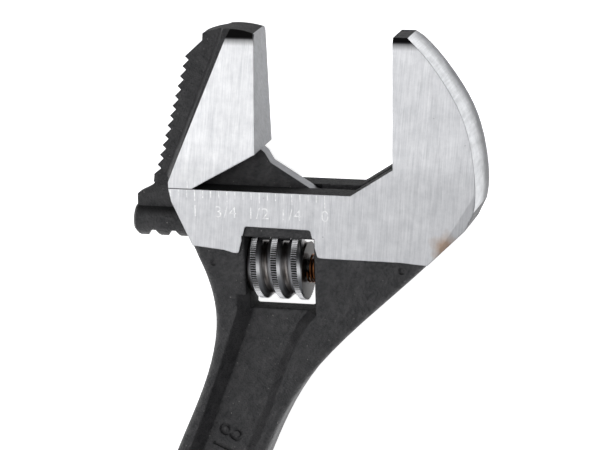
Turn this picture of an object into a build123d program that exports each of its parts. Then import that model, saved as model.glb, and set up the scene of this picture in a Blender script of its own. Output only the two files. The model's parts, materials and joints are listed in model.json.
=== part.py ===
from build123d import *
import math
import os

os.makedirs("parts", exist_ok=True)

# An adjustable wrench of the 8 inch size, with a smooth jaw and a toothed pipe jaw on one reversible slide.
# It lies on its back. The jaws slide along X and point along +Y, and +Z is the thickness.
# The datum is the corner where the fixed jaw's face meets the top of the slide, at mid thickness.
datum_x = 34.838
datum_y = 64.103
head_half = 6.2
HEAD = Plane(origin=(datum_x, datum_y, head_half))
SECTION = Plane(origin=(datum_x, datum_y, head_half), x_dir=(0, 1, 0), z_dir=(1, 0, 0))

# head
opening = 26.6
jaw_height = 29.9
tip_half = 4.2
taper_start = 5.0
taper_round = 60.0
tip_round = 3.2
blank_half = 5.8
neck_half = 5.0
slide_left = -43.8
edge_run = 0.97
throat_left = -8.2
throat_height = 5.3
blend_run = 6.0
blend_drop = 0.3

# slide, rail and rack
web_half = 1.5
slot_half = 1.6
rail_y = -7.7
rail_radius = 3.2
rail_bore_radius = 3.28
rail_left = -52.1
rail_right = -20.0
rail_bore_end = 6.8
jaw_gap = 0.1

# worm, its thread and its window
thread_pitch = 4.0
worm_y = -16.2
worm_radius = 6.15
worm_root_radius = 5.0
worm_left = -29.1
worm_length = 10.8
crest_width = 1.05
flank_run = 1.0
crest_at_top = -28.55
window_left = -29.3
window_right = -15.7
window_top = -9.0
window_bottom = -24.0
rim_bevel = 0.35
pin_radius = 1.8
worm_bore_radius = 1.86
pin_head_radius = 2.5
pin_left = -36.7
pin_shoulder = -31.5
pin_right = -11.6
pin_fit = 0.02
spring_radius = 2.55
spring_wire = 0.25
spring_pitch = 0.65
spring_turns = 3

# movable jaw
face_x = -opening
flange_half = 2.0
bevel_top = (-31.6, 30.3)
bevel_foot = (-43.6, 1.9)
bevel_width = 1.65
bevel_run = 1.8
first_tip = (-40.8, 24.8)
tooth_count = 12
tooth_run = 0.573
tooth_drop = 1.936
tooth_depth = 0.68
rack_root = -9.3
gap_root = 0.5
rack_skew = thread_pitch / (2 * math.pi * 5.7)

# handle
mark_depth = 0.35
handle_lean = 22.5
grip_start = (-36.2, -54.0)
grip_length = 112.6
grip_half_start = 8.2
grip_half_waist = 7.9
end_radius = 9.8
hang_hole_radius = 4.5
panel_half = 2.0
panel_half_width = 3.7
panel_slope = 3.3
panel_length = 88.0
rim_round = 1.4
GRIP = Plane(
    origin=(datum_x + grip_start[0], datum_y + grip_start[1], head_half),
    x_dir=(-math.sin(math.radians(handle_lean)), -math.cos(math.radians(handle_lean)), 0),
    z_dir=(0, 0, 1),
)

# working planes: across the worm, along its thread's section, across the jaw's back edge, across the
# head's lower right blend, and along the handle for the size marks
WORM = Plane(origin=(datum_x + worm_left, datum_y + worm_y, head_half), x_dir=(0, 1, 0), z_dir=(1, 0, 0))
WORM_SECTION = Plane(origin=WORM.origin, x_dir=(0, 0, 1), z_dir=(0, 1, 0))
BEVEL = Plane(
    origin=(datum_x + (bevel_top[0] + bevel_foot[0]) / 2, datum_y + (bevel_top[1] + bevel_foot[1]) / 2, head_half),
    x_dir=(bevel_top[1] - bevel_foot[1], bevel_foot[0] - bevel_top[0], 0),
    z_dir=(bevel_foot[0] - bevel_top[0], bevel_foot[1] - bevel_top[1], 0),
)
BLEND = Plane(
    origin=(datum_x + 11.8, datum_y - 4.75, head_half), x_dir=(0.847, -0.532, 0), z_dir=(-0.532, -0.847, 0)
)


def along_grip(distance, offset):
    """Gives the head-frame point at a distance down the handle, offset towards its left side."""
    lean = math.radians(handle_lean)
    x = grip_start[0] - distance * math.sin(lean) - offset * math.cos(lean)
    y = grip_start[1] - distance * math.cos(lean) + offset * math.sin(lean)
    return (x, y)


def taper_wedge(side):
    """Draws the wedge ground off one face of a jaw so that it thins towards its tip."""
    with BuildSketch(SECTION) as wedge:
        with BuildLine():
            Polyline(
                (taper_start - 20, side * head_half),
                (taper_start, side * head_half),
                (jaw_height - 1.0, side * tip_half),
                (jaw_height + 1.6, side * (tip_half - 1.6)),
                (jaw_height + 1.6, side * (head_half + 2)),
                (taper_start - 20, side * (head_half + 2)),
                close=True,
            )
        make_face()
        heel, nose = wedge.vertices().filter_by_position(Axis.X, 3, jaw_height).sort_by(Axis.X)
        fillet(heel, taper_round)
        fillet(nose, tip_round)
    return wedge.sketch


MARKS = Plane(
    origin=HEAD.from_local_coords(Vector(*along_grip(-4.9, 0), panel_half)), x_dir=-GRIP.x_dir, z_dir=(0, 0, 1)
)


def head_edge_x(y):
    """Gives where the straight lower right edge of the head is at a height."""
    return 13.9 + (y + 5.5) / edge_run


def head_right(foot_y):
    """Draws the fixed jaw's face, tip and back and the head's lower right edge, down to a height."""
    face = Line((0, throat_height), (0, jaw_height))
    tip = Line(face @ 1, (2.7, jaw_height))
    back = Spline(tip @ 1, (9.2, 22.7), (13.4, 15.1), (15.55, 4.5), (15.2, -2.4), tangents=((1, -0.75), (-0.25, -1)))
    corner = Line(back @ 1, (head_edge_x(-5.9), -5.9))
    return Line(corner @ 1, (head_edge_x(foot_y), foot_y))


def head_left(start):
    """Draws the head's left cheek, the top of the slide and the throat, back to the fixed jaw's face."""
    cheek = Line(start, (slide_left + 0.5, -2.5))
    shoulder = Line(cheek @ 1, (slide_left, 0))
    top = Line(shoulder @ 1, (throat_left, 0))
    return Line(top @ 1, (0, throat_height))


# The body is one drop forging: fixed jaw, head, window and I-section handle.
with BuildSketch(HEAD) as forging_outline:
    with BuildLine():
        edge = head_right(-14.2)
        neck = Spline(
            edge @ 1,
            (-9.7, -27.9),
            (-21.3, -41.9),
            along_grip(0, -grip_half_start),
            along_grip(30, -grip_half_waist),
            along_grip(grip_length - end_radius, -end_radius),
            tangents=((-1, -edge_run), (GRIP.x_dir.X, GRIP.x_dir.Y)),
        )
        end = ThreePointArc(
            neck @ 1, along_grip(grip_length, 0), along_grip(grip_length - end_radius, end_radius)
        )
        grip_side = Spline(
            end @ 1,
            along_grip(30, grip_half_waist),
            along_grip(0, grip_half_start),
            (-36.4, -31.2),
            (-35.8, -25.0),
            (-38.5, -14.2),
            tangents=((-GRIP.x_dir.X, -GRIP.x_dir.Y), (-0.42, 0.9)),
        )
        head_left(grip_side @ 1)
    make_face()

with BuildSketch(SECTION) as forging_profile:
    with BuildLine():
        Polyline(
            (40, blank_half),
            (-12, blank_half),
            (-45, neck_half),
            (-180, neck_half),
            (-180, -neck_half),
            (-45, -neck_half),
            (-12, -blank_half),
            (40, -blank_half),
            close=True,
        )
    make_face()
    creases = forging_profile.vertices().filter_by_position(Axis.X, -46, -11)
    fillet(creases, 120)

with BuildSketch(HEAD.offset(-head_half)) as ground_pad:
    with BuildLine():
        pad_foot = Polyline(
            head_right(-12.9) @ 1,
            (1.0, -12.5),
            (-13.6, -12.4),
            (-14.9, -12.3),
            (-16.2, -7.0),
            (-28.9, -6.8),
            (-30.3, -12.1),
            (-31.3, -12.1),
            (-33.2, -11.6),
            (-39.4, -11.0),
        )
        head_left(pad_foot @ 1)
    make_face()
    notch = ground_pad.vertices().filter_by_position(Axis.Y, -12.35, -6.5)
    fillet(notch.filter_by_position(Axis.X, -31.0, -14.5), 0.5)

def panel_outline(height, grow):
    """Draws one level of the handle's long pocket, grown sideways as its walls slope outwards."""
    half = panel_half_width + grow
    with BuildSketch(HEAD.offset(height)) as level:
        with BuildLine():
            right = Spline(
                (-18.1 + grow, -24.0),
                (-23.0 + grow, -31.9),
                (-27.4 + grow, -43.6),
                along_grip(0, -half),
                along_grip(panel_length, -half - 0.4),
                tangents=((-1, -1), (GRIP.x_dir.X, GRIP.x_dir.Y)),
            )
            end = ThreePointArc(
                right @ 1, along_grip(panel_length + half, 0), along_grip(panel_length, half + 0.4)
            )
            left = Spline(
                end @ 1,
                along_grip(0, half),
                (-32.4 - grow, -33.9),
                (-28.8 - grow, -24.0),
                tangents=((-GRIP.x_dir.X, -GRIP.x_dir.Y), (0.36, 1)),
            )
            Polyline(left @ 1, (-28.6 - grow, -20.5), (-18.3 + grow, -20.5), right @ 0)
        make_face()
    return level.sketch


with BuildPart() as body:
    extrude(forging_outline.sketch, amount=head_half, both=True)
    extrude(forging_profile.sketch, amount=200, both=True, mode=Mode.INTERSECT)
    rims = body.edges().filter_by(lambda e: abs(e.center().Z - head_half) > neck_half - 0.6)
    fillet(rims.filter_by(lambda e: e.center().Y < datum_y - 14.0 and e.length > 1), rim_round)
    extrude(ground_pad.sketch, amount=2 * head_half)
    for side in (1, -1):
        extrude(taper_wedge(side), amount=60, both=True, mode=Mode.SUBTRACT)
    # the worm's window, bevelled where it meets the two faces
    with BuildSketch(HEAD) as window:
        with BuildLine():
            Polyline(
                (window_left, window_top),
                (window_right, window_top),
                (window_right, window_bottom),
                (window_left, window_bottom),
                close=True,
            )
        make_face()
    extrude(amount=head_half + 1, both=True, mode=Mode.SUBTRACT)
    # window rims, bevelled where the two faces were relieved round the worm
    for side in (1, -1):
        with BuildSketch(HEAD.offset(side * (head_half + 0.01))) as rim_wide:
            with Locations(((window_left + window_right) / 2, (window_top + window_bottom) / 2)):
                Rectangle(window_right - window_left + 2 * rim_bevel, window_top - window_bottom + 2 * rim_bevel)
        with BuildSketch(HEAD.offset(side * (blank_half - rim_bevel))) as rim_foot:
            with Locations(((window_left + window_right) / 2, (window_top + window_bottom) / 2)):
                Rectangle(window_right - window_left + 0.1, window_top - window_bottom + 0.1)
        loft(mode=Mode.SUBTRACT)
    # the stepped hole for the worm's pin, from the cheek into the wall under the fixed jaw
    with BuildSketch(WORM.offset(pin_shoulder - worm_left)):
        Circle(pin_head_radius + pin_fit)
    extrude(amount=-12, mode=Mode.SUBTRACT)
    with BuildSketch(WORM.offset(pin_shoulder - worm_left)):
        Circle(pin_radius + pin_fit)
    extrude(amount=pin_right - pin_shoulder + 0.3, mode=Mode.SUBTRACT)
    # the slot for the web and the drilled bore for the round rail
    with BuildSketch(HEAD) as slot:
        with BuildLine():
            Polyline(
                (slide_left - 5, rail_y),
                (slide_left - 5, 7.3),
                (1.1, 7.3),
                (2.2, 5.2),
                (11.6, -0.4),
                (11.6, -4.3),
                (rail_bore_end, rail_y),
                close=True,
            )
        make_face()
    extrude(amount=slot_half, both=True, mode=Mode.SUBTRACT)
    with BuildSketch(HEAD) as rail_bore:
        with BuildLine():
            Polyline(
                (slide_left - 5, rail_y),
                (slide_left - 5, rail_y + rail_bore_radius),
                (rail_bore_end, rail_y + rail_bore_radius),
                (rail_bore_end + 1.9, rail_y),
                close=True,
            )
        make_face()
    revolve(axis=Axis((datum_x, datum_y + rail_y, head_half), (1, 0, 0)), mode=Mode.SUBTRACT)
    for side in (1, -1):
        foot = panel_outline(side * panel_half, 0)
        rim = panel_outline(side * (head_half + 0.4), panel_slope)
        loft([foot, rim], mode=Mode.SUBTRACT)
    # the faces fall away in a ground blend at the head's lower right corner
    for side in (1, -1):
        with BuildSketch(BLEND) as blend:
            with BuildLine():
                Polyline(
                    (0, side * head_half),
                    (blend_run, side * (head_half - blend_drop)),
                    (blend_run, side * (head_half + 1)),
                    close=True,
                )
            make_face()
        extrude(amount=14, both=True, mode=Mode.SUBTRACT)
    # the hang hole, with its edges broken
    with Locations(HEAD * Location((*along_grip(grip_length - end_radius - 0.3, 0), neck_half))):
        CounterSinkHole(hang_hole_radius, hang_hole_radius + 0.7)
    with Locations(HEAD * Location((*along_grip(grip_length - end_radius - 0.3, 0), -neck_half), (180, 0, 0))):
        CounterSinkHole(hang_hole_radius, hang_hole_radius + 0.7)
    # two centre marks beside the window and the size marks at the head end of the front pocket
    with Locations(*[HEAD * Location((x, -14.3, blank_half + 0.35)) for x in (-35.5, 1.2)]):
        Sphere(0.8, mode=Mode.SUBTRACT)
    with BuildSketch(MARKS) as marks:
        with Locations((0, -1.1)):
            Circle(1.35)
        with Locations((0, 1.1)):
            Circle(1.25)
        with Locations((0, -1.15)):
            Circle(0.7, mode=Mode.SUBTRACT)
        with Locations((0, 1.15)):
            Circle(0.6, mode=Mode.SUBTRACT)
        with Locations((-3.6, 0)):
            Rectangle(0.6, 4.9)
    extrude(amount=-mark_depth, mode=Mode.SUBTRACT)
body.part.label = "body"
export_step(body.part, "parts/body.step")

# The movable jaw is a second forging: smooth jaw, toothed back jaw, web, round rail and rack in one piece.
with BuildPart() as movable_jaw:
    with BuildSketch(HEAD) as jaw_block:
        with BuildLine():
            jaw_face = Line((face_x, 7.2), (face_x, 29.8))
            crown = ThreePointArc(jaw_face @ 1, (face_x - 5.4, 30.55), (face_x - 10.6, 29.3))
            Polyline(
                crown @ 1,
                (bevel_top[0] - bevel_run, bevel_top[1]),
                (bevel_foot[0] - bevel_run, bevel_foot[1]),
                (slide_left, 1.9),
                (slide_left, jaw_gap),
                (-39.2, jaw_gap),
                jaw_face @ 0,
            )
        make_face()
    extrude(amount=head_half, both=True)
    for side in (1, -1):
        with BuildSketch(BEVEL) as back_bevel:
            with BuildLine():
                Polyline(
                    (0, side * head_half),
                    (-bevel_width, side * flange_half),
                    (-bevel_width - 6, side * flange_half),
                    (-bevel_width - 6, side * (head_half + 1)),
                    (0, side * (head_half + 1)),
                    close=True,
                )
            make_face()
        extrude(amount=20, both=True, mode=Mode.SUBTRACT)
        extrude(taper_wedge(side), amount=60, both=True, mode=Mode.SUBTRACT)
    with BuildSketch(HEAD) as pipe_jaw:
        with BuildLine():
            crown_back = ThreePointArc((face_x, 29.8), (face_x - 5.4, 30.55), (face_x - 10.6, 29.3))
            teeth = [crown_back @ 1, (face_x - 10.7, 28.0)]
            for tooth in range(tooth_count):
                tip_x = first_tip[0] - tooth * tooth_run
                tip_y = first_tip[1] - tooth * tooth_drop
                teeth += [(tip_x, tip_y), (tip_x + tooth_depth, tip_y - tooth_depth)]
            teeth += [(-47.8, 1.5), (-48.0, jaw_gap), (face_x - 14, jaw_gap), (face_x - 4, 12), (face_x, 12)]
            Polyline(*teeth)
            Line(teeth[-1], crown_back @ 0)
        make_face()
    extrude(amount=flange_half, both=True)
    with BuildSketch(HEAD) as web:
        with BuildLine():
            Polyline(
                (-48.0, 1.5),
                (-48.0, -0.3),
                (-49.5, -1.5),
                (-51.5, -2.5),
                (-51.6, rail_y),
                (rail_right, rail_y),
                (rail_right + 0.2, -4.6),
                (face_x + 11.0, -1.1),
                (face_x + 1.8, 4.6),
                (face_x + 0.7, 6.5),
                (face_x - 1, 8),
                (face_x - 10, 8),
                close=True,
            )
        make_face()
    extrude(amount=web_half, both=True)
    with BuildSketch(HEAD) as rail:
        with BuildLine():
            Polyline(
                (rail_left, rail_y),
                (rail_left, rail_y + rail_radius - 0.5),
                (rail_left + 0.5, rail_y + rail_radius),
                (rail_right - 0.8, rail_y + rail_radius),
                (rail_right, rail_y + rail_radius - 0.8),
                (rail_right, rail_y),
                close=True,
            )
        make_face()
    revolve(axis=Axis((datum_x, datum_y + rail_y, head_half), (1, 0, 0)))
    # rack gaps, skewed to lie along the worm's thread where it passes under the rail
    with BuildSketch(HEAD.offset(-5)) as rack_gaps:
        for gap in range(-6, 3):
            middle = crest_at_top + gap * thread_pitch - 5 * rack_skew
            with BuildLine():
                Polyline(
                    (middle - gap_root, rack_root),
                    (middle + gap_root, rack_root),
                    (middle + gap_root + 1.07, rack_root - 2),
                    (middle - gap_root - 1.07, rack_root - 2),
                    close=True,
                )
            make_face()
    extrude(amount=10 * math.hypot(1, rack_skew), dir=(rack_skew, 0, 1), mode=Mode.SUBTRACT)
movable_jaw.part.label = "movable_jaw"
export_step(movable_jaw.part, "parts/movable_jaw.step")

# The worm is a turned steel screw with one coarse right-hand thread, bored to run on its pin.
# A crest lies a quarter pitch further right at the front than at the top, so the thread is drawn from there.
thread_start = crest_at_top + thread_pitch / 4 - worm_left - thread_pitch
with BuildPart() as worm:
    with BuildLine() as thread_path:
        Helix(
            pitch=thread_pitch,
            height=5 * thread_pitch,
            radius=worm_root_radius,
            center=(datum_x + worm_left + thread_start, datum_y + worm_y, head_half),
            direction=(1, 0, 0),
        )
    with BuildSketch(WORM_SECTION) as thread_section:
        with BuildLine():
            Polyline(
                (worm_root_radius - 0.4, thread_start - crest_width / 2 - flank_run),
                (worm_root_radius, thread_start - crest_width / 2 - flank_run),
                (worm_radius, thread_start - crest_width / 2),
                (worm_radius, thread_start + crest_width / 2),
                (worm_root_radius, thread_start + crest_width / 2 + flank_run),
                (worm_root_radius - 0.4, thread_start + crest_width / 2 + flank_run),
                close=True,
            )
        make_face()
    sweep(path=thread_path.line, is_frenet=True)
    with BuildSketch(WORM.offset(-2 * thread_pitch)):
        Circle(worm_root_radius - 0.01)
        Circle(worm_bore_radius, mode=Mode.SUBTRACT)
    extrude(amount=7 * thread_pitch)
    with BuildSketch(WORM):
        Circle(worm_radius + 1)
    extrude(amount=worm_length, mode=Mode.INTERSECT)
worm.part.label = "worm"
export_step(worm.part, "parts/worm.step")

# The pin is a slotted screw: its head sits in the cheek and its plain shank carries the worm.
with BuildPart() as worm_pin:
    with BuildSketch(HEAD) as pin_profile:
        with BuildLine():
            Polyline(
                (pin_left, worm_y),
                (pin_left, worm_y + pin_head_radius - 0.4),
                (pin_left + 0.4, worm_y + pin_head_radius),
                (pin_shoulder - 0.1, worm_y + pin_head_radius),
                (pin_shoulder - 0.1, worm_y + pin_radius),
                (pin_right - 0.5, worm_y + pin_radius),
                (pin_right, worm_y + pin_radius - 0.5),
                (pin_right, worm_y),
                close=True,
            )
        make_face()
    revolve(axis=Axis((datum_x, datum_y + worm_y, head_half), (1, 0, 0)))
    with BuildSketch(Plane(origin=(datum_x + pin_left, datum_y + worm_y, head_half), z_dir=(1, 0, 0))):
        Rectangle(8, 0.9)
    extrude(amount=1.3, mode=Mode.SUBTRACT)
worm_pin.part.label = "worm_pin"
export_step(worm_pin.part, "parts/worm_pin.step")

# A short wire spring round the pin keeps the worm pressed against the window's left wall.
with BuildPart() as pin_spring:
    with BuildLine() as coil:
        Helix(
            pitch=spring_pitch,
            height=spring_turns * spring_pitch,
            radius=spring_radius,
            center=(datum_x + worm_left + worm_length + spring_wire + 0.05, datum_y + worm_y, head_half),
            direction=(1, 0, 0),
        )
    with BuildSketch(Plane(origin=coil.line @ 0, z_dir=coil.line % 0)):
        Circle(spring_wire)
    sweep(path=coil.line, is_frenet=True)
pin_spring.part.label = "pin_spring"
export_step(pin_spring.part, "parts/pin_spring.step")
for piece in (body, movable_jaw, worm, worm_pin, pin_spring):
    print(piece.part.label, round(piece.part.volume), len(piece.part.solids()), piece.part.bounding_box())
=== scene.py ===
import json
import math

import bmesh
import bpy
from mathutils import Matrix, Vector


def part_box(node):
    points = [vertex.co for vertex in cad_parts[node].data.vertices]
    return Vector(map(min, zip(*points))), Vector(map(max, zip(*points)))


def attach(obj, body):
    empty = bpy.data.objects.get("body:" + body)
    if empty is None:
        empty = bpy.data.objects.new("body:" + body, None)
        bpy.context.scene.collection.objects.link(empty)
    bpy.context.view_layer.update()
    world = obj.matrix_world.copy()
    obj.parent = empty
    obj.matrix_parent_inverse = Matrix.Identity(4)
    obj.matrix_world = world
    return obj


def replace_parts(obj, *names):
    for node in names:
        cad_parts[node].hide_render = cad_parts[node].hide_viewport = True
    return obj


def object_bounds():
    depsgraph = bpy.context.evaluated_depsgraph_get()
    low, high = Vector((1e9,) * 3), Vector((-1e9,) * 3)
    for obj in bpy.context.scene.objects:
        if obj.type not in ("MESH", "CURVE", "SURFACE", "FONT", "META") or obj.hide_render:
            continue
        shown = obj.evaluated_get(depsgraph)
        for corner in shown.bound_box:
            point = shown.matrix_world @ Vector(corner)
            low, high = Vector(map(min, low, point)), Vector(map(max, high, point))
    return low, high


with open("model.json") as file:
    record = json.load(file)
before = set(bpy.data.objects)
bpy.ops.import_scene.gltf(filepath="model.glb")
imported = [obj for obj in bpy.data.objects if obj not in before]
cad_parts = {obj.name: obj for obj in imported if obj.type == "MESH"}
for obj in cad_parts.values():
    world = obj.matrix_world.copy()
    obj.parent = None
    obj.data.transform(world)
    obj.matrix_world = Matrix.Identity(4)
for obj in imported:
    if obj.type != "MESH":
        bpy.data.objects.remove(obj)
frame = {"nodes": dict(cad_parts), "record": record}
cad_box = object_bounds()

# ---- body ----
# The body is one drop-forged steel piece: fixed jaw, head, worm window and I-section handle. It is
# trimmed, the head's two faces and the fixed jaw's back are ground on a belt, and the rest keeps the
# fine black phosphate coat it gets after heat treatment.
MM = 0.001
mounts = {mount["name"]: Vector(mount["pos_m"]) for mount in frame["record"]["mounts"]}
fixed_face_x = mounts["fixed_jaw_face"].x
mid_z = mounts["fixed_jaw_face"].z
rail_radius = 3.2 * MM
rail_drop = 7.7 * MM
slide_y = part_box("movable_jaw")[0].y + rail_drop + rail_radius
face_rise = 6.2 * MM
jaw_tip = 29.9 * MM
blank_rise = 5.8 * MM
window_left = -29.3 * MM
window_right = -15.7 * MM
window_foot = -24.0 * MM
face_lean = (0, 0, math.radians(5))
hot_corner = (9.6 * MM, -9.2 * MM, face_rise)
weld_gap = 0.0005 * MM
sharp_angle = math.radians(22)


def linear(colour):
    """Turns an sRGB hex colour into the linear one that a socket takes."""
    parts = [int(colour[i : i + 2], 16) / 255 for i in (1, 3, 5)]
    return (*[c / 12.92 if c <= 0.04045 else ((c + 0.055) / 1.055) ** 2.4 for c in parts], 1)


def add_node(material, kind, settings=None, links=None):
    """Adds one node, sets its attributes or numbered sockets, and links (node, output) to its inputs."""
    node = material.node_tree.nodes.new("ShaderNode" + kind)
    for name, value in (settings or {}).items():
        if isinstance(name, str) and hasattr(node, name):
            setattr(node, name, value)
        else:
            node.inputs[name].default_value = value
    for socket, (source, output) in (links or {}).items():
        material.node_tree.links.new(source.outputs[output], node.inputs[socket])
    return node


def new_material(name):
    """Starts a node material with just its output, and gives both."""
    material = bpy.data.materials.new(name)
    material.use_nodes = True
    material.node_tree.nodes.clear()
    return material, material.node_tree.nodes.new("ShaderNodeOutputMaterial")


def band(material, source, output, low, high):
    """Gives a node whose Result goes from 0 at low to 1 at high of a value."""
    limits = {"From Min": low, "From Max": high}
    return add_node(material, "MapRange", limits, {"Value": (source, output)})


def combine(material, operation, a, b):
    """Gives a node that works on the first outputs of two nodes, or on a node and a number."""
    node = add_node(material, "Math", {"operation": operation}, {0: (a, 0)})
    if isinstance(b, (int, float)):
        node.inputs[1].default_value = b
    else:
        material.node_tree.links.new(b.outputs[0], node.inputs[1])
    return node


def mixed(material, share, low, high):
    """Gives a node that mixes two colours by another node's share: hex colours, or nodes that give one."""
    node = add_node(material, "Mix", {"data_type": "RGBA"}, {0: (share, 0)})
    for socket, colour in ((6, low), (7, high)):
        if isinstance(colour, str):
            node.inputs[socket].default_value = linear(colour)
        else:
            material.node_tree.links.new(colour.outputs[2], node.inputs[socket])
    return node


def phosphate_coat(material, point, shaded_and_dull):
    """Phosphated forged steel: a dull black crystalline coat over a shot-blasted forging, so the eye
    sees a soft charcoal sheen with a leathery grain about 0.6 mm across and pale dust specks. The
    grain of the real coat is finer than that, and is drawn as coarse as it needs to show. Where the
    last mask is set, the coat is painted near black as painted shade, and is made duller."""
    grain = add_node(material, "TexNoise", {"Scale": 1700, "Detail": 4, "Roughness": 0.65}, {"Vector": point})
    swell = add_node(material, "TexNoise", {"Scale": 420, "Detail": 3}, {"Vector": point})
    dust = add_node(material, "TexNoise", {"Scale": 2300, "Detail": 0}, {"Vector": point})
    tone = combine(material, "ADD", swell, grain)
    shade = mixed(material, band(material, tone, 0, 0.75, 1.25), "#2c2c2e", "#484748")
    dust_and_shade = mixed(material, band(material, dust, 0, 0.82, 0.87), shade, "#807e7c")
    # Painted shade: the masked faces are painted near black over the dust and grain.
    dust_and_shade = mixed(material, shaded_and_dull, dust_and_shade, "#161617")
    waves = combine(material, "MULTIPLY_ADD", swell, 1.2)
    material.node_tree.links.new(grain.outputs[0], waves.inputs[2])
    soft_edge = add_node(material, "Bevel", {"samples": 6, "Radius": 0.7 * MM})
    bump = add_node(
        material,
        "Bump",
        {"Strength": 1.0, "Distance": 0.4 * MM},
        {"Height": (waves, 0), "Normal": (soft_edge, 0)},
    )
    dull = add_node(material, "MapRange", {"To Min": 0.46, "To Max": 0.85}, {"Value": (shaded_and_dull, 0)})
    return add_node(
        material,
        "BsdfPrincipled",
        None,
        {"Base Color": (dust_and_shade, 2), "Roughness": (dull, 0), "Normal": (bump, 0)},
    )


def ground_steel(material, point, lean, low, high, tint=None):
    """Belt-ground steel: bright chrome-vanadium steel with close parallel scratches a few millimetres
    long, which smear reflections across the grain, and a faint mottle where the belt pressed harder."""
    turned = add_node(material, "Mapping", {"Rotation": lean}, {"Vector": point})
    scratch_size = add_node(material, "Mapping", {"Scale": (4600, 170, 900)}, {"Vector": (turned, 0)})
    scratches = add_node(
        material, "TexNoise", {"Scale": 1, "Detail": 3, "Roughness": 0.6}, {"Vector": (scratch_size, 0)}
    )
    smear_size = add_node(material, "Mapping", {"Scale": (1300, 90, 500)}, {"Vector": (turned, 0)})
    smears = add_node(material, "TexNoise", {"Scale": 1, "Detail": 2}, {"Vector": (smear_size, 0)})
    mottle = add_node(material, "TexNoise", {"Scale": 330, "Detail": 4, "Roughness": 0.7}, {"Vector": point})
    faint_smears = combine(material, "MULTIPLY", smears, 0.5)
    total = combine(material, "ADD", combine(material, "ADD", scratches, faint_smears), mottle)
    shade = mixed(material, band(material, total, 0, 0.75, 1.75), low, high)
    pits = add_node(material, "TexNoise", {"Scale": 700, "Detail": 1}, {"Vector": point})
    shade = mixed(material, band(material, pits, 0, 0.8, 0.84), shade, "#6c6d70")
    if tint:
        shade = tint(material, shade)
    edge = add_node(material, "Bevel", {"samples": 4, "Radius": 0.25 * MM})
    bump = add_node(
        material,
        "Bump",
        {"Strength": 0.2, "Distance": 0.05 * MM},
        {"Height": (scratches, 0), "Normal": (edge, 0)},
    )
    return add_node(
        material,
        "BsdfPrincipled",
        {"Metallic": 1.0, "Roughness": 0.38, "Anisotropic": 0.3},
        {"Base Color": (shade, 2), "Normal": (bump, 0)},
    )


def size_of(material, source, output):
    """Gives a node with the size of a value, whatever its sign."""
    return add_node(material, "Math", {"operation": "ABSOLUTE"}, {0: (source, output)})


def product(material, *factors):
    """Gives a node that multiplies the first outputs of several nodes."""
    total = factors[0]
    for factor in factors[1:]:
        total = combine(material, "MULTIPLY", total, factor)
    return total


def head_places(material):
    """Gives points measured from the datum corner at mid thickness, their axes and a face's direction."""
    place = add_node(material, "TexCoord")
    centred = add_node(
        material, "Mapping", {"Location": (-fixed_face_x, -slide_y, -mid_z)}, {"Vector": (place, 3)}
    )
    axes = add_node(material, "SeparateXYZ", None, {0: (centred, 0)})
    return (centred, 0), axes, add_node(material, "SeparateXYZ", None, {0: (place, 1)})


def tip_painted_shade(material, shade):
    """Darkens the last 2 mm of a jaw's tip to near black: painted shade where the ground face rolls off
    towards the tip.
    """
    axes = head_places(material)[1]
    tip_shaded = band(material, axes, 1, jaw_tip - 2.3 * MM, jaw_tip - 0.7 * MM)
    return mixed(material, tip_shaded, shade, "#242323")


def heat_tint_and_tip_shade(material, shade):
    """Adds the jaw tip's painted shade, then browns the ground blend at the head's lower right corner, where
    the belt overheated the steel.
    """
    point = head_places(material)[0]
    across = add_node(material, "VectorMath", {"operation": "DISTANCE", 1: hot_corner}, {0: point})
    ragged = add_node(material, "TexNoise", {"Scale": 420, "Detail": 3}, {"Vector": point})
    reach = add_node(
        material, "Math", {"operation": "MULTIPLY_ADD", 1: 3.5 * MM}, {0: (ragged, 0), 2: (across, 1)}
    )
    hot = band(material, reach, 0, 5.2 * MM, 2.4 * MM)
    return mixed(material, combine(material, "MULTIPLY", hot, 0.75), tip_painted_shade(material, shade), "#a5815f")


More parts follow.
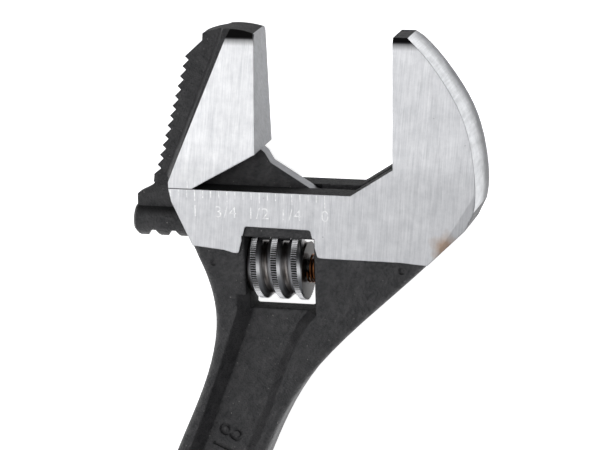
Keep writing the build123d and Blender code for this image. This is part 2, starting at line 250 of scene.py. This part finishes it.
def forged_body_material():
    """The body's coat and its ground faces: the pad's two faces, and the fixed jaw's faces and back."""
    material, output = new_material("forged_steel_ground_and_phosphated")
    point, axes, facing = head_places(material)
    height = size_of(material, axes, 2)
    flat = band(material, size_of(material, facing, 2), 0, 0.55, 0.6)
    pad = band(material, height, 0, 5.92 * MM, 5.98 * MM)
    jaw_faces = product(
        material, band(material, axes, 1, 3.5 * MM, 3.6 * MM), band(material, height, 0, 3.2 * MM, 3.3 * MM)
    )
    blend = product(
        material, band(material, axes, 0, 7 * MM, 8 * MM), band(material, height, 0, 5.1 * MM, 5.2 * MM)
    )
    faces = combine(material, "MAXIMUM", combine(material, "MAXIMUM", pad, jaw_faces), blend)
    back = product(
        material,
        band(material, axes, 1, -2.3 * MM, -2.2 * MM),
        band(material, axes, 0, 2.7 * MM, 2.8 * MM),
        band(material, facing, 0, 0.15, 0.2),
    )
    # The window's walls are painted near black and made duller: painted shade inside the window.
    window_walls = product(
        material,
        band(material, axes, 0, window_left - 0.1 * MM, window_left),
        band(material, axes, 0, window_right + 0.1 * MM, window_right),
        band(material, height, 0, blank_rise, blank_rise - 0.3 * MM),
        band(material, axes, 1, window_foot - 0.1 * MM, window_foot),
    )
    # Faces turned upwards are painted near black and made duller: painted shade.
    upward = band(material, facing, 1, 0.35, 0.75)
    coat = phosphate_coat(material, point, combine(material, "MAXIMUM", upward, window_walls))
    face_steel = ground_steel(material, point, face_lean, "#bcbdc0", "#ececee", heat_tint_and_tip_shade)
    # The fixed jaw's ground back is painted darker towards its rear edge, with a ragged border: painted shade
    # where the strip turns from the light.
    patchy_noise = add_node(material, "TexNoise", {"Scale": 260, "Detail": 4, "Roughness": 0.7}, {"Vector": point})
    depth = combine(material, "MULTIPLY_ADD", patchy_noise, 5 * MM)
    material.node_tree.links.new(axes.outputs[2], depth.inputs[2])

    def shaded_towards_back(material, shade):
        return mixed(material, band(material, depth, 0, 3.6 * MM, -1.5 * MM), shade, "#4c4d50")

    back_steel = ground_steel(material, point, (math.pi / 2, 0, 0), "#a3a4a7", "#e0e1e3", shaded_towards_back)
    ground = product(material, faces, flat)
    joined = add_node(material, "MixShader", None, {0: (ground, 0), 1: (coat, 0), 2: (face_steel, 0)})
    joined = add_node(material, "MixShader", None, {0: (back, 0), 1: (joined, 0), 2: (back_steel, 0)})
    material.node_tree.links.new(joined.outputs[0], output.inputs[0])
    return material


def smoothed(node, name, material):
    """Stands a merged copy in for a CAD node: rounds shade as curves, and flats and edges stay crisp."""
    mesh = bmesh.new()
    mesh.from_mesh(frame["nodes"][node].data)
    bmesh.ops.remove_doubles(mesh, verts=mesh.verts, dist=weld_gap)
    for face in mesh.faces:
        face.normal_update()
        face.smooth = True
    for edge in mesh.edges:
        level = any(abs(face.normal.z) > 0.9999 for face in edge.link_faces)
        edge.smooth = len(edge.link_faces) == 2 and not level and edge.calc_face_angle() < sharp_angle
    data = bpy.data.meshes.new(name)
    mesh.to_mesh(data)
    mesh.free()
    data.materials.append(material)
    piece = bpy.data.objects.new(name, data)
    bpy.context.scene.collection.objects.link(piece)
    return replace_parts(piece, node)


body = smoothed("body", "forged_body", forged_body_material())
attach(body, "body")

# ---- jaw scale ----
# A laser-marked scale of the opening in sixteenths of an inch along the head's front face, with the
# quarter inches numbered. The laser leaves a thin frosted film of oxide on the ground steel.
INCH = 25.4 * MM
zero_x = -13.2 * MM
scale_left = -43.4 * MM
film_lift = 0.004 * MM
marked_z = mid_z + face_rise + film_lift
film = 0.02 * MM
line_width = 0.18 * MM
tick_top = -0.15 * MM
number_height = 2.2 * MM
number_y = -4.25 * MM
fraction_shift = -0.35 * MM


def laser_frost():
    """Laser-marked steel: a matt pale oxide film, seen as a slightly lighter, softer line."""
    material, output = new_material("laser_frosted_steel")
    place = add_node(material, "TexCoord")
    patchy_noise = add_node(material, "TexNoise", {"Scale": 1800, "Detail": 3}, {"Vector": (place, 3)})
    shade = mixed(material, band(material, patchy_noise, 0, 0.35, 0.65), "#dcdcde", "#fafafa")
    frost = add_node(
        material, "BsdfPrincipled", {"Roughness": 0.3, "Metallic": 1.0}, {"Base Color": (shade, 2)}
    )
    material.node_tree.links.new(frost.outputs[0], output.inputs[0])
    return material


frost = laser_frost()


def add_piece(name, mesh, material, rides_on):
    """Puts a bmesh into the scene as one piece that moves with a body."""
    data = bpy.data.meshes.new(name)
    mesh.to_mesh(data)
    mesh.free()
    data.materials.append(material)
    piece = bpy.data.objects.new(name, data)
    bpy.context.scene.collection.objects.link(piece)
    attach(piece, rides_on)
    return piece


def add_stroke(mesh, x, top, bottom, z):
    """Adds one thin raised stroke, as wide as the laser's line, to the marks."""
    middle = Vector((fixed_face_x + x, slide_y + (top + bottom) / 2, z))
    size = Matrix.Diagonal((line_width, top - bottom, film, 1))
    bmesh.ops.create_cube(mesh, size=1, matrix=Matrix.Translation(middle) @ size)


ticks = bmesh.new()
step = 0
while zero_x - step * INCH / 16 > scale_left:
    length = (2.4 if step == 0 else 2.0 if step % 4 == 0 else 1.4) * MM
    add_stroke(ticks, zero_x - step * INCH / 16, tick_top, tick_top - length, marked_z)
    step += 1
add_piece("jaw_scale_ticks", ticks, frost, "body")


def add_number(text, x, y, height):
    """Draws one number of the scale as a thin mesh centred at a point of the face."""
    curve = bpy.data.curves.new("number", "FONT")
    curve.body = text
    curve.size = height * 1.45
    curve.space_character = 1.1
    curve.offset = -0.012 * height
    curve.extrude = film / 2
    curve.align_x = "CENTER"
    curve.align_y = "CENTER"
    lettering = bpy.data.objects.new("number", curve)
    bpy.context.scene.collection.objects.link(lettering)
    bpy.context.view_layer.update()
    data = bpy.data.meshes.new_from_object(lettering)
    bpy.data.objects.remove(lettering)
    number = bmesh.new()
    number.from_mesh(data)
    bpy.data.meshes.remove(data)
    place = Matrix.Translation((fixed_face_x + x, slide_y + y, marked_z))
    bmesh.ops.transform(number, matrix=place, verts=number.verts)
    return number


numbers = bmesh.new()
for quarter, text in enumerate(("0", "1/4", "1/2", "3/4", "1")):
    shift = fraction_shift if "/" in text else 0.0
    number = add_number(text, zero_x - quarter * INCH / 4 + shift, number_y, number_height)
    data = bpy.data.meshes.new("number")
    number.to_mesh(data)
    number.free()
    numbers.from_mesh(data)
    bpy.data.meshes.remove(data)
bmesh.ops.remove_doubles(numbers, verts=numbers.verts, dist=0.001 * MM)
add_piece("jaw_scale_numbers", numbers, frost, "body")

# ---- movable jaw ----
# The movable jaw is a second drop forging: a smooth jaw with a ground face, a toothed pipe jaw on its
# back, and below them the web, the round rail and the rack that the worm drives. Only its two flat
# faces are belt ground, and the gripping face has coarser slanting grinding marks.
bevel_top = Vector((-31.6, 30.3))
bevel_foot = Vector((-43.6, 1.9))


def forged_jaw_material():
    """The jaw's coat, its two bright ground faces, and its gripping face ground grey on a slant."""
    material, output = new_material("forged_jaw_ground_and_phosphated")
    point, axes, facing = head_places(material)
    flat = band(material, size_of(material, facing, 2), 0, 0.55, 0.6)
    faces = product(
        material,
        flat,
        band(material, axes, 1, -0.1 * MM, 0),
        band(material, size_of(material, axes, 2), 0, 3.0 * MM, 3.1 * MM),
        band(material, add_jaw_bevel(material, axes), 0, 0.05 * MM, 0.1 * MM),
    )
    grip = product(
        material, band(material, facing, 0, 0.9, 0.95), band(material, axes, 0, -26.8 * MM, -26.7 * MM)
    )
    web_edge = product(
        material,
        band(material, facing, 1, 0.2, 0.3),
        band(material, axes, 0, -26.9 * MM, -26.8 * MM),
        band(material, axes, 1, -2 * MM, -1.9 * MM),
    )
    # Faces turned upwards are painted near black and made duller: painted shade.
    coat = phosphate_coat(material, point, band(material, facing, 1, 0.35, 0.75))
    # The ground faces are painted darker towards the jaw's tip: painted shade.
    face_steel = ground_steel(material, point, face_lean, "#c4c5c8", "#f4f4f5", tip_painted_shade)
    grip_steel = ground_steel(material, point, (math.radians(40), 0, math.pi / 2), "#5f6063", "#8b8c8f")
    joined = add_node(material, "MixShader", None, {0: (faces, 0), 1: (coat, 0), 2: (face_steel, 0)})
    grey = combine(material, "MAXIMUM", grip, web_edge)
    joined = add_node(material, "MixShader", None, {0: (grey, 0), 1: (joined, 0), 2: (grip_steel, 0)})
    material.node_tree.links.new(joined.outputs[0], output.inputs[0])
    return material


def add_jaw_bevel(material, axes):
    """Gives how far a point lies inside the bevelled back edge of the smooth jaw."""
    along = (bevel_top - bevel_foot).normalized()
    inward = Vector((along.y, -along.x))
    start = -inward.dot(bevel_foot) * MM
    x_part = add_node(
        material, "Math", {"operation": "MULTIPLY_ADD", 1: inward.x, 2: start}, {0: (axes, 0)}
    )
    return add_node(
        material, "Math", {"operation": "MULTIPLY_ADD", 1: inward.y}, {0: (axes, 1), 2: (x_part, 0)}
    )


jaw = smoothed("movable_jaw", "forged_movable_jaw", forged_jaw_material())
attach(jaw, "movable_jaw")

index = bmesh.new()
add_stroke(index, -40.0 * MM, 1.6 * MM, 0.35 * MM, marked_z)
add_piece("opening_index_mark", index, frost, "movable_jaw")

# ---- worm ----
# The worm is turned from free-cutting steel with one coarse right-hand thread. Its crests are knurled
# straight across so that a thumb can turn it, and it is left bright and lightly oiled.
worm_low, worm_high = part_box("worm")
worm_y = (worm_low.y + worm_high.y) / 2
worm_radius = (worm_high.y - worm_low.y) / 2
thread_pitch = 4.0 * MM
root_radius = 4.95 * MM
crest_half = 0.525 * MM
bore_radius = 1.86 * MM
ridges = 80
ridge_steps = 4
ridge_depth = 0.28 * MM
front_crest_x = fixed_face_x - 27.55 * MM
turns = 6


def threaded_worm():
    """Screws one pitch of the thread's section round the axis, knurls its crest and closes both ends."""
    mesh = bmesh.new()
    section = [
        (-thread_pitch / 2, root_radius),
        (-crest_half - 1.05 * MM, root_radius + 0.08 * MM),
        (-crest_half - 0.8 * MM, root_radius + 0.4 * MM),
        (-crest_half - 0.06 * MM, worm_radius - 0.2 * MM),
        (-crest_half, worm_radius),
        (crest_half, worm_radius),
        (crest_half + 0.08 * MM, worm_radius - 0.14 * MM),
        (crest_half + 0.6 * MM, worm_radius - 0.55 * MM),
        (crest_half + 0.8 * MM, root_radius + 0.4 * MM),
        (crest_half + 1.05 * MM, root_radius + 0.08 * MM),
        (thread_pitch / 2, root_radius),
    ]
    start = front_crest_x - 2 * thread_pitch
    corners = [mesh.verts.new((start + x, worm_y, mid_z + radius)) for x, radius in section]
    edges = [mesh.edges.new(pair) for pair in zip(corners, corners[1:])]
    steps = ridges * ridge_steps
    bmesh.ops.spin(
        mesh,
        geom=corners + edges,
        cent=(0, worm_y, mid_z),
        axis=(1, 0, 0),
        dvec=(thread_pitch / steps, 0, 0),
        angle=2 * math.pi * turns,
        steps=steps * turns,
        use_merge=False,
        use_duplicate=False,
    )
    cut = mesh.verts.layers.float.new("knurl_cut")
    for vert in mesh.verts:
        y, z = vert.co.y - worm_y, vert.co.z - mid_z
        radius = math.hypot(y, z)
        station = round(math.atan2(y, z) / (2 * math.pi) * steps)
        if radius > worm_radius - 0.01 * MM:
            vert[cut] = (1, 0.6, 0, 0.6)[station % ridge_steps]
            share = 1 - ridge_depth * vert[cut] / radius
            vert.co.y, vert.co.z = worm_y + y * share, mid_z + z * share
    bmesh.ops.remove_doubles(mesh, verts=mesh.verts, dist=0.002 * MM)
    for end, outward in ((worm_low.x, -1), (worm_high.x, 1)):
        bmesh.ops.bisect_plane(
            mesh,
            geom=mesh.verts[:] + mesh.edges[:] + mesh.faces[:],
            plane_co=(end, 0, 0),
            plane_no=(outward, 0, 0),
            clear_outer=True,
        )
    bores = []
    for end in (worm_low.x, worm_high.x):
        open_edges = [edge for edge in mesh.edges if edge.is_boundary]
        rim = [edge for edge in open_edges if abs(edge.verts[0].co.x - end) < 0.001 * MM]
        place = Matrix.Translation((end, worm_y, mid_z)) @ Matrix.Rotation(math.pi / 2, 4, "Y")
        circle = bmesh.ops.create_circle(mesh, segments=48, radius=bore_radius, matrix=place)["verts"]
        ring = [edge for edge in mesh.edges if edge.verts[0] in circle and edge.verts[1] in circle]
        bores.append(ring)
        bmesh.ops.triangle_fill(mesh, edges=rim + ring, normal=(1, 0, 0))
    bmesh.ops.bridge_loops(mesh, edges=bores[0] + bores[1])
    bmesh.ops.recalc_face_normals(mesh, faces=mesh.faces)
    return mesh


def turned_steel():
    """Turned steel: bright, with fine tool rings round the axis. The thread's root is dark brown, partly
    a film of old oil and partly painted shade in the grooves, so they read darker and warmer than
    the crests. The knurl's notches and the worm's end faces are painted near black as painted shade."""
    material, output = new_material("turned_bright_steel")
    place = add_node(material, "TexCoord")
    centred = add_node(material, "Mapping", {"Location": (0, -worm_y, -mid_z)}, {"Vector": (place, 3)})
    axes = add_node(material, "SeparateXYZ", None, {0: (centred, 0)})
    across = add_node(material, "CombineXYZ")
    for i in (1, 2):
        material.node_tree.links.new(axes.outputs[i], across.inputs[i])
    reach = add_node(material, "VectorMath", {"operation": "LENGTH"}, {0: (across, 0)})
    deep = band(material, reach, 1, root_radius, worm_radius - 0.3 * MM)
    ring_scale = add_node(material, "Mapping", {"Scale": (6000, 300, 300)}, {"Vector": (centred, 0)})
    rings = add_node(material, "TexNoise", {"Scale": 1, "Detail": 2}, {"Vector": (ring_scale, 0)})
    stain = add_node(material, "TexNoise", {"Scale": 500, "Detail": 4}, {"Vector": (centred, 0)})
    oil_and_shade = combine(material, "MULTIPLY_ADD", stain, 0.5)
    material.node_tree.links.new(deep.outputs[0], oil_and_shade.inputs[2])
    shade = mixed(material, band(material, oil_and_shade, 0, 0.15, 1.0), "#463d36", "#c6c6c8")
    # Painted shade: the knurl's notches are painted near black.
    notch = add_node(material, "Attribute", {"attribute_name": "knurl_cut"})
    shade = mixed(material, band(material, notch, 2, 0.45, 0.75), shade, "#15120f")
    # Painted shade: the worm's end faces are painted dark.
    facing = add_node(material, "SeparateXYZ", None, {0: (place, 1)})
    shade = mixed(material, band(material, size_of(material, facing, 0), 0, 0.97, 0.99), shade, "#3a3836")
    bump = add_node(material, "Bump", {"Strength": 0.25, "Distance": 0.00004}, {"Height": (rings, 0)})
    steel = add_node(
        material,
        "BsdfPrincipled",
        {"Metallic": 1.0, "Roughness": 0.34},
        {"Base Color": (shade, 2), "Normal": (bump, 0)},
    )
    material.node_tree.links.new(steel.outputs[0], output.inputs[0])
    return material


worm = add_piece("knurled_worm", threaded_worm(), turned_steel(), "worm")
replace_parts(worm, "worm")

# ---- worm pin ----
# The pin is a plain slotted screw of turned steel. Its head sits in the cheek of the head and its
# shank runs through the worm into the far wall of the window.


def oiled_pin_steel():
    """Turned steel gone dark with oil: grey, with soft reflections and faint tool rings."""
    material, output = new_material("oiled_turned_steel")
    place = add_node(material, "TexCoord")
    ring_scale = add_node(material, "Mapping", {"Scale": (4000, 250, 250)}, {"Vector": (place, 3)})
    rings = add_node(material, "TexNoise", {"Scale": 1, "Detail": 2}, {"Vector": (ring_scale, 0)})
    shade = mixed(material, rings, "#4e4c4a", "#8f8d8a")
    bump = add_node(material, "Bump", {"Strength": 0.3, "Distance": 0.00005}, {"Height": (rings, 0)})
    steel = add_node(
        material,
        "BsdfPrincipled",
        {"Metallic": 1.0, "Roughness": 0.38},
        {"Base Color": (shade, 2), "Normal": (bump, 0)},
    )
    material.node_tree.links.new(steel.outputs[0], output.inputs[0])
    return material


pin = frame["nodes"]["worm_pin"]
pin.data.materials.clear()
pin.data.materials.append(oiled_pin_steel())

# ---- pin spring ----
# A short coil of spring wire with a copper flash, slipped over the pin's right end, presses the worm
# against the window's left wall so that it doesn't turn by itself.


def copper_flash():
    """Copper-flashed wire: a thin warm plating, drawn smooth, with darker rubbed patches."""
    material, output = new_material("copper_flashed_wire")
    place = add_node(material, "TexCoord")
    rubbed = add_node(material, "TexNoise", {"Scale": 900, "Detail": 3}, {"Vector": (place, 3)})
    shade = mixed(material, rubbed, "#5e3820", "#b87a50")
    wire = add_node(
        material, "BsdfPrincipled", {"Metallic": 1.0, "Roughness": 0.3}, {"Base Color": (shade, 2)}
    )
    material.node_tree.links.new(wire.outputs[0], output.inputs[0])
    return material


spring = frame["nodes"]["pin_spring"]
spring.data.materials.clear()
spring.data.materials.append(copper_flash())

# ---- floor and light ----
# The wrench lies on its back on a plain white sheet that glows a little, so that its shadow is faint.
# Softboxes above light the faces, and the room behind the camera is dim.
floor_gap = 0.2 * MM


def white_sheet():
    """Plain matt white sheet, lit through from below."""
    material, output = new_material("white_sheet")
    sheet = add_node(
        material,
        "BsdfPrincipled",
        {
            "Base Color": linear("#ffffff"),
            "Roughness": 0.9,
            "Emission Color": (1, 1, 1, 1),
            "Emission Strength": 0.9,
        },
    )
    material.node_tree.links.new(sheet.outputs[0], output.inputs[0])
    return material


floor_mesh = bmesh.new()
bmesh.ops.create_grid(floor_mesh, x_segments=1, y_segments=1, size=3.0)
floor_data = bpy.data.meshes.new("floor")
floor_mesh.to_mesh(floor_data)
floor_mesh.free()
floor_data.materials.append(white_sheet())
floor = bpy.data.objects.new("floor", floor_data)
floor.location.z = cad_box[0].z - floor_gap
bpy.context.scene.collection.objects.link(floor)

world = bpy.data.worlds.new("studio")
world.use_nodes = True
world.node_tree.nodes["Background"].inputs[0].default_value = (0.9, 0.94, 1.0, 1)
world.node_tree.nodes["Background"].inputs[1].default_value = 0.14
bpy.context.scene.world = world


def softbox(name, aim, direction, distance, width, height, glow):
    """Hangs one rectangular softbox in a direction from a point, facing it, as bright as its glow."""
    light = bpy.data.lights.new(name, "AREA")
    light.shape = "RECTANGLE"
    light.size = width
    light.size_y = height
    light.energy = glow * math.pi * width * height
    lamp = bpy.data.objects.new(name, light)
    towards = Vector(direction).normalized()
    lamp.location = aim + towards * distance
    lamp.rotation_euler = towards.to_track_quat("Z", "Y").to_euler()
    bpy.context.scene.collection.objects.link(lamp)
    return lamp


head_middle = Vector((fixed_face_x - 17 * MM, slide_y + 2 * MM, mid_z))
softbox("overhead_softbox", head_middle, (-0.38, 0.16, 0.91), 0.9, 0.9, 0.66, 1.5)
softbox("lower_left_softbox", head_middle, (-0.35, -0.7, 0.62), 1.0, 0.9, 0.5, 1.0)
softbox("left_striplight", head_middle, (-0.8, -0.25, 0.54), 1.0, 0.3, 0.5, 4.0)
softbox("right_softbox", head_middle, (0.9, 0.1, 0.45), 1.1, 0.5, 0.9, 1.2)

# ---- camera ----
# A long lens well above the wrench, a little to the right of and above square-on, and leaning so that
# the head stands nearly upright.
aim = Vector((fixed_face_x - 17.177 * MM, slide_y - 6.024 * MM, mid_z + 6 * MM))
turn = math.radians(15.5)
rise = math.radians(15.5)
lean = math.radians(1.66)
distance = 600.83 * MM
away = Vector((math.sin(turn) * math.cos(rise), math.sin(rise), math.cos(turn) * math.cos(rise)))
right = Vector((math.cos(turn), 0, -math.sin(turn)))
up = away.cross(right)
camera_right = math.cos(lean) * right - math.sin(lean) * up
camera_up = math.sin(lean) * right + math.cos(lean) * up
lens = bpy.data.cameras.new("camera")
lens.sensor_width = 36
lens.lens = 188.85
lens.clip_start = 0.01
lens.clip_end = 20
camera = bpy.data.objects.new("camera", lens)
columns = Matrix((camera_right, camera_up, away)).transposed()
camera.matrix_world = Matrix.Translation(aim + away * distance) @ columns.to_4x4()
bpy.context.scene.collection.objects.link(camera)
bpy.context.scene.camera = camera
bpy.context.scene.view_settings.view_transform = "Standard"
